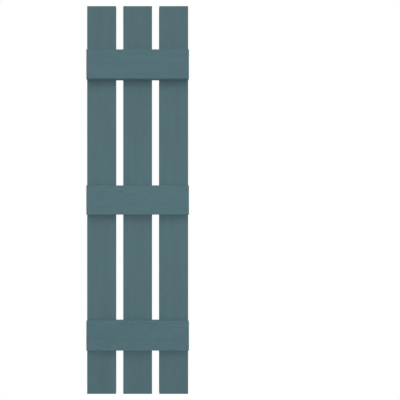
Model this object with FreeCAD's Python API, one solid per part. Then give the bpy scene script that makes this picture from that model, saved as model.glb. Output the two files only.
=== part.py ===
"""Board and batten window shutter: three spaced upright boards joined by three flat battens.

The boards lie flat against the wall, the battens cross their faces, and screws driven from the
back hold each batten to each board, so no fastener shows from the front.
Frame: +X to the right, +Z up, the front faces -Y. The origin is on the wall face, at its centre.
Sizes are in millimetres.
"""

import FreeCAD, Part
import math
import os

# Boards: dressed stock, sold as one by four inches
board_width = 88.9
board_thickness = 19.05
board_length = 1193.8
board_gap = 22.2

# Battens: the same stock, cut to the width across all the boards
batten_height = 88.9
batten_thickness = 19.05
end_margin = 140.4  # from each end of the boards to the nearest batten's edge

# Softened arrises of the dressed stock
edge_radius = 0.8  # along the grain
end_chamfer = 0.4  # round the sawn ends

# Countersunk wood screws, driven from the back through the board into the batten
screw_head_diameter = 8.4
screw_head_angle = 90.0  # full angle of the countersink, degrees
screw_head_rim = 0.5  # straight rim over the head's cone
screw_head_sink = 0.4  # head below the board's back
screw_shank_diameter = 4.2
screw_point_length = 6.0
screw_point_diameter = 0.6  # its blunt end
screw_point_cover = 6.0  # wood left between the point and the batten's face
screw_sides = 12  # flats that stand for the round of so small a piece
screw_edge_distance = 22.0  # from the screw to the edge of the board and of the batten
shank_clearance = 0.2  # all round the shank, in the board
pilot_overdrill = 1.0  # pilot hole beyond the point

# Places worked out from the sizes above
boards = {"left": -1, "middle": 0, "right": 1}  # name and side of each board
board_pitch = board_width + board_gap
across_boards = (len(boards) - 1) * board_pitch + board_width
top_batten_z = board_length / 2 - end_margin - batten_height / 2
battens = {"top": top_batten_z, "middle": 0.0, "bottom": -top_batten_z}  # name and height
board_face_y = -board_thickness
batten_face_y = -board_thickness - batten_thickness

UP = FreeCAD.Vector(0, 0, 1)
BACK = FreeCAD.Vector(0, 1, 0)
ORIGIN = FreeCAD.Vector(0, 0, 0)


def eased_section(width, thickness, radius):
    """Face of a dressed board's cross-section on the XY plane, centred, with rounded corners."""
    half_x = width / 2
    half_y = thickness / 2
    inset = radius * (1 - math.sqrt(0.5))
    edges = []
    for quarter in range(4):
        turn = FreeCAD.Rotation(UP, 90 * quarter)
        along, across = (half_x, half_y) if quarter % 2 == 0 else (half_y, half_x)
        start = FreeCAD.Vector(along, across - radius, 0)
        middle = FreeCAD.Vector(along - inset, across - inset, 0)
        end = FreeCAD.Vector(along - radius, across, 0)
        following = FreeCAD.Vector(radius - along, across, 0)
        arc = Part.Arc(*[turn.multVec(point) for point in (start, middle, end)])
        side = Part.LineSegment(turn.multVec(end), turn.multVec(following))
        edges += [arc.toShape(), side.toShape()]
    return Part.Face(Part.Wire(edges))


def dressed_stock(width, thickness, length):
    """A length of dressed stock along Z, centred, with eased edges and chamfered ends."""
    section = eased_section(width, thickness, edge_radius)
    section.translate(FreeCAD.Vector(0, 0, -length / 2))
    stock = section.extrude(UP * length)
    end_edges = [edge for edge in stock.Edges if edge.BoundBox.ZLength < length / 2]
    return stock.makeChamfer(end_chamfer, end_edges)


def flat_face(corners):
    """Flat face with these corners."""
    return Part.Face(Part.makePolygon(corners + corners[:1]))


def turned(profile):
    """Solid of revolution about the Y axis from (radius, y) points."""
    outline = flat_face([FreeCAD.Vector(radius, y, 0) for radius, y in profile])
    return outline.revolve(ORIGIN, BACK, 360)


head_radius = screw_head_diameter / 2
shank_radius = screw_shank_diameter / 2
hole_radius = shank_radius + shank_clearance
head_slope = math.tan(math.radians(screw_head_angle / 2))  # radius gained per length of the cone
head_top_y = -screw_head_sink
cone_top_y = head_top_y - screw_head_rim
point_y = batten_face_y + screw_point_cover


def cone_y(radius):
    """Where the head's cone has this radius, on a screw whose board's back is at y = 0."""
    return cone_top_y - (head_radius - radius) / head_slope


def screw_ring(radius, y):
    """Corners of the screw's outline where it has this radius, all on the round."""
    corners = []
    for corner in range(screw_sides):
        angle = 2 * math.pi * corner / screw_sides
        corners.append(FreeCAD.Vector(radius * math.cos(angle), y, radius * math.sin(angle)))
    return corners


def screw():
    """Countersunk screw on the Y axis, pointing to the front, with flats from ring to ring."""
    rings = [
        screw_ring(head_radius, head_top_y),
        screw_ring(head_radius, cone_top_y),
        screw_ring(shank_radius, cone_y(shank_radius)),
        screw_ring(shank_radius, point_y + screw_point_length),
        screw_ring(screw_point_diameter / 2, point_y),
    ]
    faces = [flat_face(rings[0]), flat_face(rings[-1])]
    for upper, lower in zip(rings, rings[1:]):
        for corner in range(screw_sides):
            faces.append(flat_face(
                [upper[corner - 1], upper[corner], lower[corner], lower[corner - 1]]
            ))
    return Part.makeSolid(Part.makeShell(faces))


def board_hole():
    """Clearance hole through the board, with the countersink that the screw's head seats in."""
    return turned([
        (0, 0),
        (head_radius - cone_top_y * head_slope, 0),
        (hole_radius, cone_y(hole_radius)),
        (hole_radius, board_face_y),
        (0, board_face_y),
    ])


def pilot_hole():
    """Blind hole that the shank fills, from the batten's back to just past the point."""
    return turned([
        (0, board_face_y),
        (shank_radius, board_face_y),
        (shank_radius, point_y - pilot_overdrill),
        (0, point_y - pilot_overdrill),
    ])


def screw_places(side, batten_z):
    """Name and place of the two screws where a board crosses a batten.

    They stand on a diagonal in the outer boards, mirrored left to right, and one above the
    other in the middle board.
    """
    reach_x = board_width / 2 - screw_edge_distance
    reach_z = batten_height / 2 - screw_edge_distance
    return {
        level: FreeCAD.Vector(side * (board_pitch + up * reach_x), 0, batten_z + up * reach_z)
        for level, up in (("upper", 1), ("lower", -1))
    }


def moved(shape, place):
    """A copy of the shape, moved from the origin to the place."""
    copy = shape.copy()
    copy.translate(place)
    return copy


def upright_board(side):
    """One board, flat against the wall, with its screw holes."""
    board = dressed_stock(board_width, board_thickness, board_length)
    board.translate(FreeCAD.Vector(side * board_pitch, -board_thickness / 2, 0))
    for batten_z in battens.values():
        for place in screw_places(side, batten_z).values():
            board = board.cut(moved(board_hole(), place))
    return board


def cross_batten(batten_z):
    """One batten, lying across the faces of the boards, with its pilot holes."""
    batten = dressed_stock(batten_height, batten_thickness, across_boards)
    batten.rotate(ORIGIN, BACK, 90)
    batten.translate(FreeCAD.Vector(0, board_face_y - batten_thickness / 2, batten_z))
    for side in boards.values():
        for place in screw_places(side, batten_z).values():
            batten = batten.cut(moved(pilot_hole(), place))
    return batten


def shutter():
    """Every piece of the shutter, by its node's name."""
    pieces = {}
    for board_name, side in boards.items():
        pieces[f"{board_name}_board"] = upright_board(side)
    for batten_name, batten_z in battens.items():
        pieces[f"{batten_name}_batten"] = cross_batten(batten_z)
        for board_name, side in boards.items():
            for level, place in screw_places(side, batten_z).items():
                name = f"{batten_name}_batten_{board_name}_board_{level}_screw"
                pieces[name] = moved(screw(), place)
    return pieces


os.makedirs("parts", exist_ok=True)
for name, shape in shutter().items():
    shape.exportStep(f"parts/{name}.step")
    print(name, "valid" if shape.isValid() else "not valid", f"{shape.Volume:.0f} mm3")
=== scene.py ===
import bpy
import bmesh
import math
from mathutils import Matrix, Vector, noise


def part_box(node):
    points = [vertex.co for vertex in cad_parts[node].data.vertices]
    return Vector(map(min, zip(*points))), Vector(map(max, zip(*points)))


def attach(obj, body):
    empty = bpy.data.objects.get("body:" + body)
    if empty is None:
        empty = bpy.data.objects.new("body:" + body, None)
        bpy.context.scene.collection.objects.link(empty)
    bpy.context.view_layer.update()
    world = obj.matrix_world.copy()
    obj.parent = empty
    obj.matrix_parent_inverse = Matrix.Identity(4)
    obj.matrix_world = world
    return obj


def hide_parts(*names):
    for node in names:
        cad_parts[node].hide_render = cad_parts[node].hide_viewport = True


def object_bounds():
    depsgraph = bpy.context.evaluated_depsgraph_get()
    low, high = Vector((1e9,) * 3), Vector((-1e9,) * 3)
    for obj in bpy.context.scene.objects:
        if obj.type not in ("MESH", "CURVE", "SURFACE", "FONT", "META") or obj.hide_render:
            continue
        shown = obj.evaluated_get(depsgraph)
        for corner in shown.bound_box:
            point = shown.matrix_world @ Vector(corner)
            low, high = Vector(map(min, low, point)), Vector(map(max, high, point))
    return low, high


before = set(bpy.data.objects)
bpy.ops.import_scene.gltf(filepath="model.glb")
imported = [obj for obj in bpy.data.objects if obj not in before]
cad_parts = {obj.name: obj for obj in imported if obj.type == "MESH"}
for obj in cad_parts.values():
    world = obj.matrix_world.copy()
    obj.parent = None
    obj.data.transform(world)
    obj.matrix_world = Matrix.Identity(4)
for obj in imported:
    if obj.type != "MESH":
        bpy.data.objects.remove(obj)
cadLow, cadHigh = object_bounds()
nodeNames = sorted(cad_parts)
boardNames = [name for name in nodeNames if name.endswith("_board")]
battenNames = [name for name in nodeNames if name.endswith("_batten")]
screwNames = [name for name in nodeNames if name.endswith("_screw")]
print("frame:", len(boardNames), "boards,", len(battenNames), "battens,", len(screwNames), "screws")

xAxis, yAxis, zAxis = 0, 1, 2
tiny = 1e-6                      # metres: points closer than this are the same point


# node helpers, used by every finish below

patternMiddle = 0.5              # patterns run from 0 to 1
patternSpan = (0.3, 0.7)         # where most of a noise pattern lies


def newMaterial(name):
    material = bpy.data.materials.new(name)
    material.use_nodes = True
    nodes = material.node_tree.nodes
    return material, nodes, material.node_tree.links, nodes["Principled BSDF"]


def objectPattern(nodes, links, scale, detail):
    coordinates = nodes.new("ShaderNodeTexCoord")
    mapping = nodes.new("ShaderNodeMapping")
    mapping.inputs["Scale"].default_value = scale
    links.new(coordinates.outputs["Object"], mapping.inputs["Vector"])
    pattern = nodes.new("ShaderNodeTexNoise")
    pattern.inputs["Scale"].default_value = 1.0
    pattern.inputs["Detail"].default_value = detail
    links.new(mapping.outputs["Vector"], pattern.inputs["Vector"])
    return pattern.outputs["Fac"]


def ownAttribute(nodes, name):
    attribute = nodes.new("ShaderNodeAttribute")
    attribute.attribute_name = name
    return attribute.outputs["Fac"]


def mathNode(nodes, links, operation, first, second):
    node = nodes.new("ShaderNodeMath")
    node.operation = operation
    for socket, value in zip(node.inputs, (first, second)):
        if isinstance(value, (int, float)):
            socket.default_value = value
        else:
            links.new(value, socket)
    return node.outputs["Value"]


def swingTone(nodes, links, swings):
    # 1 on average, a little up and down with each pattern
    tone = 1.0
    for source, swing in swings:
        centred = mathNode(nodes, links, "SUBTRACT", source, patternMiddle)
        swung = mathNode(nodes, links, "MULTIPLY", centred, swing)
        tone = mathNode(nodes, links, "ADD", tone, swung)
    return tone


def tonedColour(nodes, links, colour, tone):
    coat = nodes.new("ShaderNodeVectorMath")
    coat.operation = "SCALE"
    coat.inputs["Vector"].default_value = colour
    links.new(tone, coat.inputs["Scale"])
    return coat.outputs["Vector"]


def rangeNode(nodes, links, source, fromLow, fromHigh, toLow, toHigh):
    node = nodes.new("ShaderNodeMapRange")
    node.inputs["From Min"].default_value = fromLow
    node.inputs["From Max"].default_value = fromHigh
    node.inputs["To Min"].default_value = toLow
    node.inputs["To Max"].default_value = toHigh
    links.new(source, node.inputs["Value"])
    return node.outputs["Result"]


def bumpNode(nodes, links, height, distance, strength):
    bump = nodes.new("ShaderNodeBump")
    bump.inputs["Strength"].default_value = strength
    bump.inputs["Distance"].default_value = distance
    links.new(height, bump.inputs["Height"])
    return bump.outputs["Normal"]


# low-sheen paint on dressed wood: the grain shows through as faint streaks and relief

paint = {
    "boardColour": (0.0813, 0.1440, 0.1598),
    "battenColour": (0.0815, 0.1472, 0.1671),
    "boardGrain": 0.45,          # how strongly the fine grain stands out under the coat
    "battenGrain": {"top_batten": 0.6, "middle_batten": 1.0, "bottom_batten": 1.15},
    "boardBanding": 1.0,         # the same for streaks and bands
    "battenBanding": 0.6,
    "brush": (1500.0, 22.0, 2.0),    # per metre across and along the grain, and detail
    "fibre": (650.0, 32.0, 3.0),
    "fleck": (900.0, 40.0, 2.0),     # thin marks that gather in clusters
    "cluster": (270.0, 50.0, 2.0),
    "fleckCut": (0.44, 0.60),    # of each pattern, from clear wood to the middle of a mark
    "clusterCut": (0.42, 0.68),
    "streak": (170.0, 9.0, 2.0),
    "band": (45.0, 6.0, 2.0),
    "blotch": (12.0, 4.0, 2.0),
    "brushTone": 0.05,           # how far each pattern moves the tone
    "fibreTone": 0.07,
    "markTone": 0.17,
    "markShare": 0.2,            # of the surface that marks darken, so the average tone stays
    "streakTone": 0.085,
    "bandTone": 0.15,
    "blotchTone": 0.08,
    "ringTone": 0.018,
    "endShade": 0.93,            # sawn ends soak up paint and dry darker
    "endRingTone": 0.16,
    "roughness": (0.62, 0.78),
    "endRoughness": 0.1,         # more of it on the sawn ends
    "specularLevel": 0.08,
    "brushRelief": 0.2,          # shares of the relief
    "fibreRelief": 0.8,
    "markRelief": 0.3,
    "bumpDistance": 0.0006,
    "bumpStrength": 1.0,
}


def grainPattern(nodes, links, name, grainAxis):
    # noise drawn out along the grain
    across, along, detail = paint[name]
    scale = [across, across, across]
    scale[grainAxis] = along
    return objectPattern(nodes, links, scale, detail)


def makePaint(name, colour, grainAxis, grain, banding):
    material, nodes, links, shader = newMaterial(name)
    brush = grainPattern(nodes, links, "brush", grainAxis)
    fibre = grainPattern(nodes, links, "fibre", grainAxis)
    fleck = grainPattern(nodes, links, "fleck", grainAxis)
    fleck = rangeNode(nodes, links, fleck, *paint["fleckCut"], 0.0, 1.0)
    cluster = grainPattern(nodes, links, "cluster", grainAxis)
    cluster = rangeNode(nodes, links, cluster, *paint["clusterCut"], 0.0, 1.0)
    marks = mathNode(nodes, links, "MULTIPLY", fleck, cluster)
    streak = grainPattern(nodes, links, "streak", grainAxis)
    band = grainPattern(nodes, links, "band", grainAxis)
    blotch = grainPattern(nodes, links, "blotch", grainAxis)
    ring = ownAttribute(nodes, "ring")
    sawnEnd = ownAttribute(nodes, "sawnEnd")
    tone = swingTone(nodes, links, (
        (brush, grain * paint["brushTone"]),
        (fibre, grain * paint["fibreTone"]),
        (streak, banding * paint["streakTone"]),
        (band, banding * paint["bandTone"]),
        (blotch, paint["blotchTone"]),
        (ring, rangeNode(nodes, links, sawnEnd, 0.0, 1.0, paint["ringTone"], paint["endRingTone"])),
    ))
    endShade = rangeNode(nodes, links, sawnEnd, 0.0, 1.0, 1.0, paint["endShade"])
    markSwing = grain * paint["markTone"]
    clearShade = 1.0 + markSwing * paint["markShare"]
    markShade = rangeNode(nodes, links, marks, 0.0, 1.0, clearShade, clearShade - markSwing)
    for shade in (endShade, markShade):
        tone = mathNode(nodes, links, "MULTIPLY", tone, shade)
    links.new(tonedColour(nodes, links, colour, tone), shader.inputs["Base Color"])
    roughness = rangeNode(nodes, links, fibre, *patternSpan, *paint["roughness"])
    endDulling = mathNode(nodes, links, "MULTIPLY", sawnEnd, paint["endRoughness"])
    roughness = mathNode(nodes, links, "ADD", roughness, endDulling)
    links.new(roughness, shader.inputs["Roughness"])
    shader.inputs["Specular IOR Level"].default_value = paint["specularLevel"]
    height = swingTone(nodes, links, (
        (brush, paint["brushRelief"]),
        (fibre, paint["fibreRelief"]),
        (marks, -paint["markRelief"]),
    ))
    normal = bumpNode(nodes, links, height, grain * paint["bumpDistance"], paint["bumpStrength"])
    links.new(normal, shader.inputs["Normal"])
    return material


boardPaint = makePaint(
    "board_paint", paint["boardColour"], zAxis, paint["boardGrain"], paint["boardBanding"],
)
coats = {node: boardPaint for node in boardNames}
for node in battenNames:
    grain = paint["battenGrain"][node]
    coats[node] = makePaint(
        node + "_paint", paint["battenColour"], xAxis, grain, paint["battenBanding"],
    )
print("paint made for", len(coats), "pieces")


# dull coated steel for the screws, scuffed bright where the driver sat in the recess

steel = {
    "colour": (0.42, 0.41, 0.38),
    "mottle": 900.0,             # per metre
    "mottleDetail": 3.0,
    "mottleTone": 0.5,
    "scuffTone": 0.35,
    "metallic": 0.85,
    "roughness": (0.34, 0.56),
    "bumpDistance": 0.00004,
    "bumpStrength": 0.4,
}


def makeSteel(name):
    material, nodes, links, shader = newMaterial(name)
    mottle = objectPattern(nodes, links, [steel["mottle"]] * 3, steel["mottleDetail"])
    tone = swingTone(nodes, links, ((mottle, steel["mottleTone"]),))
    scuff = mathNode(nodes, links, "MULTIPLY", ownAttribute(nodes, "scuff"), steel["scuffTone"])
    tone = mathNode(nodes, links, "ADD", tone, scuff)
    links.new(tonedColour(nodes, links, steel["colour"], tone), shader.inputs["Base Color"])
    shader.inputs["Metallic"].default_value = steel["metallic"]
    roughness = rangeNode(nodes, links, mottle, *patternSpan, *steel["roughness"])
    links.new(roughness, shader.inputs["Roughness"])
    normal = bumpNode(nodes, links, mottle, steel["bumpDistance"], steel["bumpStrength"])
    links.new(normal, shader.inputs["Normal"])
    return material


screwSteel = makeSteel("screw_steel_coat")
print("steel made")


# mesh helpers

def addPiece(bm, name, node, material, sharpAngle):
    mesh = bpy.data.meshes.new(name)
    bm.to_mesh(mesh)
    bm.free()
    mesh.materials.append(material)
    mesh.shade_smooth()
    mesh.set_sharp_from_angle(angle=math.radians(sharpAngle))
    piece = bpy.data.objects.new(name, mesh)
    bpy.context.scene.collection.objects.link(piece)
    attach(piece, "root")
    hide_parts(node)
    return piece


def turned(bm, profile, steps):
    # spins (radius, y) points round the Y axis, poles closed
    verts = [bm.verts.new((radius, y, 0.0)) for radius, y in profile]
    edges = [bm.edges.new(pair) for pair in zip(verts, verts[1:])]
    bmesh.ops.spin(
        bm, geom=verts + edges, cent=(0, 0, 0), axis=(0, 1, 0), dvec=(0, 0, 0),
        angle=math.tau, steps=steps, use_merge=True, use_duplicate=False,
    )
    bmesh.ops.remove_doubles(bm, verts=bm.verts, dist=tiny)


# screw holes: countersunk through the boards from the back, blind in the battens

hole = {
    "rim": 0.0005,               # straight rim over the head's cone
    "shankRadius": 0.0021,       # of the screw, which fills its pilot hole
    "clearance": 0.0002,         # round the shank, through the boards
    "overdrill": 0.001,          # pilot beyond the screw's point
    "past": 0.001,               # cutters reach this far out of the wood
    "steps": 40,
}


def screwAxis(screw):
    low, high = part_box(screw)
    return (low + high) / 2 * Vector((1, 0, 1))


def boardHole(screw, board):
    # (radius, y) outline of the clearance hole and the seat of the screw's head
    screwLow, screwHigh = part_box(screw)
    boardLow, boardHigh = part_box(board)
    headRadius = (screwHigh.x - screwLow.x) / 2
    mouth = headRadius + boardHigh.y - screwHigh.y + hole["rim"]
    bore = hole["shankRadius"] + hole["clearance"]
    return [
        (0.0, boardHigh.y + hole["past"]),
        (mouth + hole["past"], boardHigh.y + hole["past"]),
        (bore, boardHigh.y - (mouth - bore)),
        (bore, boardLow.y - hole["past"]),
        (0.0, boardLow.y - hole["past"]),
    ]


def pilotHole(screw, batten):
    # the same for the blind hole that the screw bites in
    bore = hole["shankRadius"]
    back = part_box(batten)[1].y + hole["past"]
    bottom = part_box(screw)[0].y - hole["overdrill"]
    return [(0.0, back), (bore, back), (bore, bottom), (0.0, bottom)]


def drillBits(node, screws, holeOutline):
    # one mesh with the cutter of every hole in this piece
    bm = bmesh.new()
    for screw in screws:
        bit = bmesh.new()
        turned(bit, holeOutline(screw, node), hole["steps"])
        bmesh.ops.recalc_face_normals(bit, faces=bit.faces)
        bmesh.ops.translate(bit, vec=screwAxis(screw), verts=bit.verts)
        bitMesh = bpy.data.meshes.new("drill_bit")
        bit.to_mesh(bitMesh)
        bit.free()
        bm.from_mesh(bitMesh)
        bpy.data.meshes.remove(bitMesh)
    mesh = bpy.data.meshes.new("drill_bits")
    bm.to_mesh(mesh)
    bm.free()
    return mesh


def drill(piece, bitMesh):
    # takes the cutters out of the piece and keeps the result as its mesh
    cutter = bpy.data.objects.new("drill_bits", bitMesh)
    bpy.context.scene.collection.objects.link(cutter)
    cut = piece.modifiers.new("holes", "BOOLEAN")
    cut.operation = "DIFFERENCE"
    cut.solver = "EXACT"
    cut.object = cutter
    depsgraph = bpy.context.evaluated_depsgraph_get()
    drilled = bpy.data.meshes.new_from_object(piece.evaluated_get(depsgraph))
    piece.modifiers.remove(cut)
    whole = piece.data
    piece.data = drilled
    bpy.data.meshes.remove(whole)
    bpy.data.objects.remove(cutter)
    bpy.data.meshes.remove(bitMesh)
    drilled.name = piece.name


# dressed stock: rounded arrises, eased ends, and the relief of the grain under the paint

stock = {
    "edgeRadius": 0.0008,
    "edgeSegments": 3,
    "endRound": 0.0004,
    "endSegments": 2,
    "sharpAngle": 40.0,
    "alongStep": 0.010,          # spacing of the mesh along the grain
    "acrossStep": 0.0011,
    "alongShare": 0.99,          # of an edge's length along an axis, for it to count as along it
    "boardSeed": 9.0,            # the first of each kind; the rest count on from it
    "battenSeed": 1.0,
    "seedPlace": (7.3, 3.1),     # how far apart two seeds lie in the noise
    "depthPlace": (11.0, 5.0),   # and the sway in depth from the sway sideways
    "ringSpacing": 0.0055,
    "ringSharpness": 2,
    "pithDepth": 0.034,          # the tree's heart, this far behind the middle of the stock
    "pithSway": 0.010,
    "swayRate": 1.7,             # per metre along the grain
    "ringWarp": 0.0016,
    "warpRate": (30.0, 3.0),     # per metre, across and along the grain
    "reliefDepth": 0.00008,
}


def acrossOf(grainAxis):
    return xAxis if grainAxis == zAxis else zAxis


def ringHeight(point, centre, grainAxis, seed):
    # 0 in soft early wood, 1 on the hard late wood of a growth ring
    offset = point - centre
    along = offset[grainAxis]
    across = offset[acrossOf(grainAxis)]
    through = offset[yAxis]
    seedX, seedY = stock["seedPlace"]
    swayPlace = Vector((seed * seedX, seed * seedY, along * stock["swayRate"]))
    depthPlace = swayPlace + Vector((*stock["depthPlace"], 0.0))
    sideSway = noise.noise(swayPlace) * stock["pithSway"]
    depthSway = noise.noise(depthPlace) * stock["pithSway"]
    radius = math.hypot(across - sideSway, stock["pithDepth"] + depthSway - through)
    acrossRate, alongRate = stock["warpRate"]
    warpPlace = Vector((across * acrossRate + seed, through * acrossRate, along * alongRate))
    radius += noise.noise(warpPlace) * stock["ringWarp"]
    wave = 0.5 + 0.5 * math.cos(math.tau * radius / stock["ringSpacing"])
    return wave ** stock["ringSharpness"]


def runsAlong(edge, axis):
    step = edge.verts[1].co - edge.verts[0].co
    return abs(step[axis]) > stock["alongShare"] * step.length


def roundEdges(bm, edges, radius, segments):
    bmesh.ops.bevel(
        bm, geom=edges, offset=radius, offset_type="OFFSET", segments=segments,
        profile=0.5, affect="EDGES", material=-1, clamp_overlap=True,
    )


def divideAlong(bm, axis, longerThan, step):
    edges = [e for e in bm.edges if runsAlong(e, axis) and e.calc_length() > longerThan]
    cuts = max(1, round(edges[0].calc_length() / step)) - 1
    bmesh.ops.subdivide_edges(bm, edges=edges, cuts=cuts, use_grid_fill=True)


def dressedStock(low, high, grainAxis, seed):
    size = high - low
    centre = (low + high) / 2
    bm = bmesh.new()
    bmesh.ops.create_cube(bm, size=1.0)
    bmesh.ops.scale(bm, vec=size, verts=bm.verts)
    bmesh.ops.translate(bm, vec=centre, verts=bm.verts)
    arrises = [e for e in bm.edges if runsAlong(e, grainAxis)]
    roundEdges(bm, arrises, stock["edgeRadius"], stock["edgeSegments"])
    endEdges = [e for e in bm.edges if not runsAlong(e, grainAxis)]
    roundEdges(bm, endEdges, stock["endRound"], stock["endSegments"])

    # a mesh fine enough across the grain to carry the rings
    acrossAxis = acrossOf(grainAxis)
    divideAlong(bm, grainAxis, size[grainAxis] / 2, stock["alongStep"])
    divideAlong(bm, acrossAxis, size[acrossAxis] / 2, stock["acrossStep"])
    divideAlong(bm, yAxis, size[yAxis] / 2, stock["acrossStep"])

    bm.normal_update()
    for vert in bm.verts:
        sunk = 1.0 - ringHeight(vert.co, centre, grainAxis, seed)
        vert.co -= vert.normal * (sunk * stock["reliefDepth"])
    return bm


def addGrain(piece, centre, grainAxis, seed, length):
    # growth rings all over, and which points are on the sawn ends
    ring = piece.data.attributes.new("ring", "FLOAT", "POINT")
    sawnEnd = piece.data.attributes.new("sawnEnd", "FLOAT", "POINT")
    flatEnd = length / 2 - stock["endRound"] / 2
    for vert, ringValue, endValue in zip(piece.data.vertices, ring.data, sawnEnd.data):
        ringValue.value = ringHeight(vert.co, centre, grainAxis, seed)
        endValue.value = float(abs(vert.co[grainAxis] - centre[grainAxis]) > flatEnd)


for names, grainAxis, holeOutline, firstSeed in (
    (boardNames, zAxis, boardHole, stock["boardSeed"]),
    (battenNames, xAxis, pilotHole, stock["battenSeed"]),
):
    for number, node in enumerate(names):
        low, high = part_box(node)
        seed = firstSeed + number
        bm = dressedStock(low, high, grainAxis, seed)
        piece = addPiece(
            bm, "painted_" + node, node, coats[node], stock["sharpAngle"],
        )
        ownScrews = [screw for screw in screwNames if node in screw]
        drill(piece, drillBits(node, ownScrews, holeOutline))
        piece.data.set_sharp_from_angle(angle=math.radians(stock["sharpAngle"]))
        addGrain(piece, (low + high) / 2, grainAxis, seed, (high - low)[grainAxis])
        print(piece.name, len(piece.data.polygons), "faces,", len(ownScrews), "holes")


# countersunk wood screws with a cross recess, driven home at different turns; their rim and shank
# are those that the holes are made for

fastener = {
    "edgeEase": 0.00025,
    "steps": 48,
    "plainLength": 0.009,        # of the shank, from the head's cone to the thread
    "collar": 0.0004,            # where the shank runs into the thread
    "threadPitch": 0.0019,
    "threadRoot": 0.0014,
    "threadFoot": 0.5,           # share of the pitch that the ridge takes up
    "threadSteps": 24,           # in one turn
    "spareTurns": 2,             # wound past the point, then trimmed off
    "trimTolerance": 1e-7,
    "pointLength": 0.006,
    "pointRadius": 0.0003,
    "armReach": 0.0021,          # of the cross recess, from the middle
    "armWidth": 0.00085,
    "recessDepth": 0.0019,
    "recessTaper": 0.45,
    "sharpAngle": 30.0,
    "turnStep": 2.4,             # radians from one screw to the next
}


def openLoop(bm, y):
    return [e for e in bm.edges if e.is_boundary and all(abs(v.co.y - y) < tiny for v in e.verts)]


def addThread(bm, top, tip):
    # a ridge wound round a thinner core, tapered to the point, then trimmed square at both ends
    pitch = fastener["threadPitch"]
    half = fastener["threadFoot"] / 2
    core, crest = fastener["threadRoot"], hole["shankRadius"]
    ridge = ((core, 0.0), (core, 0.5 - half), (crest, 0.5), (core, 0.5 + half))
    verts = []
    for turn in range(-fastener["spareTurns"], math.ceil((top - tip) / pitch) + 1):
        foot = tip + turn * pitch
        verts += [bm.verts.new((radius, foot + share * pitch, 0.0)) for radius, share in ridge]
    edges = [bm.edges.new(pair) for pair in zip(verts, verts[1:])]
    bmesh.ops.spin(
        bm, geom=verts + edges, cent=(0, 0, 0), axis=(0, 1, 0),
        dvec=(0, pitch / fastener["threadSteps"], 0), angle=math.tau,
        steps=fastener["threadSteps"], use_merge=False, use_duplicate=False,
    )
    bmesh.ops.remove_doubles(bm, verts=bm.verts, dist=tiny)
    for vert in bm.verts:
        along = min(1.0, max(0.0, (vert.co.y - tip) / fastener["pointLength"]))
        slim = along + (1.0 - along) * fastener["pointRadius"] / core
        vert.co *= Vector((slim, 1.0, slim))
    for y, above in ((top, True), (tip, False)):
        bmesh.ops.bisect_plane(
            bm, geom=bm.verts[:] + bm.edges[:] + bm.faces[:], dist=fastener["trimTolerance"],
            plane_co=(0, y, 0), plane_no=(0, 1, 0), clear_outer=above, clear_inner=not above,
        )
    bmesh.ops.contextual_create(bm, geom=openLoop(bm, tip))


def crossLoop(bm, y):
    # outline of the recess: three corners for each of its four arms
    reach = fastener["armReach"]
    half = fastener["armWidth"] / 2
    corners = []
    for quarter in range(4):
        turn = Matrix.Rotation(-quarter * math.pi / 2, 4, "Y")
        for corner in ((half, y, half), (half, y, reach), (-half, y, reach)):
            corners.append(bm.verts.new(turn @ Vector(corner)))
    return [bm.edges.new(pair) for pair in zip(corners, corners[1:] + corners[:1])]


def sinkRecess(bm, recessLoop):
    # tapered walls and a floor, marked as scuffed
    scuff = bm.faces.layers.float.new("scuff")
    sunk = bmesh.ops.extrude_edge_only(bm, edges=recessLoop)["geom"]
    floorVerts = [g for g in sunk if isinstance(g, bmesh.types.BMVert)]
    floorEdges = [g for g in sunk if isinstance(g, bmesh.types.BMEdge) and g.is_boundary]
    walls = [g for g in sunk if isinstance(g, bmesh.types.BMFace)]
    taper = fastener["recessTaper"]
    bmesh.ops.scale(bm, vec=(taper, 1.0, taper), verts=floorVerts)
    bmesh.ops.translate(bm, vec=(0.0, -fastener["recessDepth"], 0.0), verts=floorVerts)
    bottom = bmesh.ops.contextual_create(bm, geom=floorEdges)["faces"]
    for face in walls + bottom:
        face[scuff] = 1.0


def woodScrew(node, turnAngle):
    low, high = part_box(node)
    headRadius = (high.x - low.x) / 2
    shankRadius = hole["shankRadius"]
    coneTop = high.y - hole["rim"]
    coneFoot = coneTop - (headRadius - shankRadius)
    shankFoot = coneFoot - fastener["plainLength"]
    threadTop = shankFoot - fastener["collar"]
    ease = fastener["edgeEase"]
    easeInset = ease * (1 - math.sqrt(0.5))
    bm = bmesh.new()
    addThread(bm, threadTop, low.y)
    turned(bm, [
        (headRadius - ease, high.y),
        (headRadius - easeInset, high.y - easeInset),
        (headRadius, high.y - ease),
        (headRadius, coneTop),
        (shankRadius, coneFoot),
        (shankRadius, shankFoot),
    ], fastener["steps"])
    bmesh.ops.bridge_loops(bm, edges=openLoop(bm, shankFoot) + openLoop(bm, threadTop))
    headLoop = openLoop(bm, high.y)
    recessLoop = crossLoop(bm, high.y)
    bmesh.ops.triangle_fill(bm, edges=headLoop + recessLoop, use_beauty=True, normal=(0, 1, 0))
    sinkRecess(bm, recessLoop)
    bmesh.ops.recalc_face_normals(bm, faces=bm.faces)
    driven = Matrix.Rotation(turnAngle, 3, "Y")
    bmesh.ops.rotate(bm, cent=(0, 0, 0), matrix=driven, verts=bm.verts)
    bmesh.ops.translate(bm, vec=screwAxis(node), verts=bm.verts)
    return bm


for number, node in enumerate(screwNames):
    bm = woodScrew(node, number * fastener["turnStep"])
    piece = addPiece(
        bm, "driven_" + node, node, screwSteel, fastener["sharpAngle"],
    )
print(len(screwNames), "screws driven,", len(piece.data.polygons), "faces each")


# camera: level with the middle of the shutter, square to it

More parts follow.
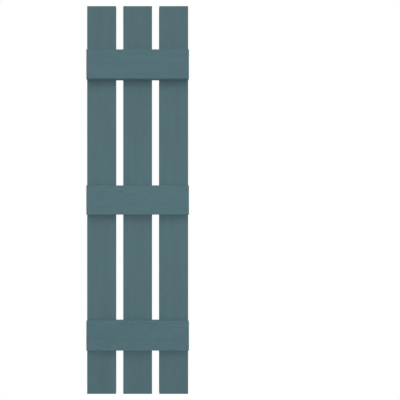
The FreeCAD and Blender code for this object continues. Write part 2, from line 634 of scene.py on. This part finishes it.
view = {
    "distance": 1.1966,          # from the faces of the boards
    "lens": 35.0,
    "sensor": 36.0,
    "shiftX": 0.1559,            # the shutter stands left of the middle of the picture
}
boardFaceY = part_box(boardNames[0])[0].y
cameraData = bpy.data.cameras.new("camera")
cameraData.lens = view["lens"]
cameraData.sensor_width = view["sensor"]
cameraData.shift_x = view["shiftX"]
camera = bpy.data.objects.new("camera", cameraData)
camera.location = (0.0, boardFaceY - view["distance"], 0.0)
camera.rotation_euler = (math.radians(90), 0.0, 0.0)
bpy.context.scene.collection.objects.link(camera)
bpy.context.scene.camera = camera


# light: a sky that is bright above and in front, and soft lamps round the shutter

sky = {
    "above": 0.84,               # strengths of the light from above and below the horizon
    "below": 0.28,
    "horizon": 0.05,             # half the height that the two blend over
    "behind": 0.3,               # share of that light left behind the shutter
    "turn": 0.2,                 # half the width that front and rear blend over
}
lamps = {
    "key": {"place": (0.14, -1.5, -0.05), "aim": (0.14, 0.0, -0.05), "size": 0.35, "power": 7.6},
    "softbox": {"place": (-0.8, -2.57, 3.06), "aim": (0.0, 0.0, 0.0), "size": 2.0, "power": 30.0},
    "left": {"place": (-2.3, 0.1, 0.2), "aim": (0.0, 0.1, 0.0), "size": 0.2, "power": 14.0},
    "right": {"place": (2.3, 0.1, 0.2), "aim": (0.0, 0.1, 0.0), "size": 0.2, "power": 14.0},
}
suns = {                         # parallel light: turned from the front, raised from level, degrees
    "lift": {
        "turn": 0.0, "raise": -70.0, "strength": 0.8, "colour": (1.0, 1.0, 1.0), "shadow": False,
    },
    "drop": {
        "turn": 0.0, "raise": 90.0, "strength": 0.7, "colour": (0.82, 0.93, 1.0), "shadow": False,
    },
    "rear": {
        "turn": 163.0, "raise": 0.0, "strength": 3.0, "colour": (1.0, 1.0, 1.0), "shadow": True,
    },
}
sunSpread = 15.0                 # degrees, of a sun that casts shadows


def addLamp(name, data, place, aim):
    lamp = bpy.data.objects.new(name, data)
    lamp.location = place
    lamp.rotation_mode = "QUATERNION"
    lamp.rotation_quaternion = (Vector(aim) - Vector(place)).to_track_quat("-Z", "Y")
    lamp.visible_glossy = False  # no bright spots in the paint
    bpy.context.scene.collection.objects.link(lamp)


for name, lamp in lamps.items():
    data = bpy.data.lights.new(name, "AREA")
    data.shape = "DISK"
    data.size = lamp["size"]
    data.energy = lamp["power"]
    addLamp(name, data, lamp["place"], lamp["aim"])

for name, sun in suns.items():
    data = bpy.data.lights.new(name, "SUN")
    data.energy = sun["strength"]
    data.color = sun["colour"]
    data.use_shadow = sun["shadow"]
    data.angle = math.radians(sunSpread) if sun["shadow"] else 0.0
    turn, rise = math.radians(sun["turn"]), math.radians(sun["raise"])
    level = Vector((math.sin(turn), -math.cos(turn), 0.0)) * math.cos(rise)
    addLamp(name, data, level + Vector((0.0, 0.0, math.sin(rise))), (0.0, 0.0, 0.0))


def seenRay(nodes, links):
    # 1 for what the camera sees, directly, in gloss or through glass
    path = nodes.new("ShaderNodeLightPath")
    seen = path.outputs["Is Camera Ray"]
    for kind in ("Is Glossy Ray", "Is Transmission Ray"):
        seen = mathNode(nodes, links, "MAXIMUM", seen, path.outputs[kind])
    return seen


world = bpy.data.worlds.new("studio")
world.use_nodes = True
bpy.context.scene.world = world
nodes, links = world.node_tree.nodes, world.node_tree.links
background = nodes["Background"]
background.inputs["Color"].default_value = (1.0, 1.0, 1.0, 1.0)
direction = nodes.new("ShaderNodeTexCoord")
parts = nodes.new("ShaderNodeSeparateXYZ")
links.new(direction.outputs["Generated"], parts.inputs["Vector"])
dome = rangeNode(
    nodes, links, parts.outputs["Z"], -sky["horizon"], sky["horizon"], sky["below"], sky["above"],
)
rearShade = rangeNode(
    nodes, links, parts.outputs["Y"], -sky["turn"], sky["turn"], 1.0, sky["behind"],
)
dome = mathNode(nodes, links, "MULTIPLY", dome, rearShade)
white = mathNode(nodes, links, "MAXIMUM", seenRay(nodes, links), dome)
links.new(white, background.inputs["Strength"])


# pale floor, well below: the shutter hangs on a wall

ground = {
    "drop": 0.7,                 # below the shutter
    "radius": 1.15,
    "segments": 96,
    "clear": 0.6,                # solid this far out, then it fades into the background
    "colour": (0.94, 0.94, 0.94, 1.0),
    "roughness": 0.9,
    "specularLevel": 0.0,
}
bm = bmesh.new()
bmesh.ops.create_circle(
    bm, cap_ends=True, segments=ground["segments"], radius=ground["radius"],
)
bmesh.ops.translate(bm, vec=(0.0, 0.0, cadLow.z - ground["drop"]), verts=bm.verts)
floorMesh = bpy.data.meshes.new("floor")
bm.to_mesh(floorMesh)
bm.free()
floor = bpy.data.objects.new("floor", floorMesh)
bpy.context.scene.collection.objects.link(floor)
floor.visible_diffuse = False    # it throws no light back on the shutter
floorMaterial, nodes, links, shader = newMaterial("pale_floor")
shader.inputs["Base Color"].default_value = ground["colour"]
shader.inputs["Roughness"].default_value = ground["roughness"]
shader.inputs["Specular IOR Level"].default_value = ground["specularLevel"]
coordinates = nodes.new("ShaderNodeTexCoord")
flat = nodes.new("ShaderNodeVectorMath")
flat.operation = "MULTIPLY"
flat.inputs[1].default_value = (1.0, 1.0, 0.0)
links.new(coordinates.outputs["Object"], flat.inputs[0])
reach = nodes.new("ShaderNodeVectorMath")
reach.operation = "LENGTH"
links.new(flat.outputs["Vector"], reach.inputs[0])
fade = rangeNode(nodes, links, reach.outputs["Value"], ground["clear"], ground["radius"], 1.0, 0.0)
links.new(fade, shader.inputs["Alpha"])
floorMesh.materials.append(floorMaterial)

bpy.context.scene.view_settings.view_transform = "Standard"
print("camera, light and floor set")
